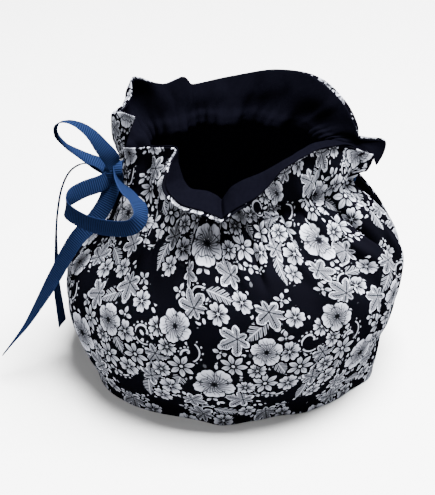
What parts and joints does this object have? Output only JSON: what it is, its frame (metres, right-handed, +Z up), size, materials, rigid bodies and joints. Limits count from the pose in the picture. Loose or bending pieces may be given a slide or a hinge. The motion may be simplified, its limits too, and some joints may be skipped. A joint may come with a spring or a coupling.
{
  "type": "drawstring tea cosy",
  "caption": "Round drawstring tea cosy of floral cotton with a navy lining, a gathered frill, side slits for a teapot's handle and spout, and a ribbon bow.",
  "frame": {"origin": "on the surface the cosy stands on, under the middle of its overall box; the middle of the hem ring is 22.3 mm to +X and 0.5 mm to -Y of it", "axes": "+Z up out of the frill, +X towards the spout slit, -X towards the handle slit and its bow, -Y towards the front panel"},
  "size_m": [0.244, 0.1985, 0.1648],
  "materials": {
    "printed_cotton": "matt printed cotton, pale silver-grey flowers on near-black navy",
    "lining_cotton": "matt plain navy cotton",
    "grosgrain": "ribbed satin-sheen grosgrain ribbon"
  },
  "bodies": {
    "root": {"front_panel": "printed_cotton", "back_panel": "printed_cotton", "front_lining": "lining_cotton", "back_lining": "lining_cotton", "ribbon_bow": "grosgrain", "ribbon_spout_span": "grosgrain"}
  },
  "joints": []
}
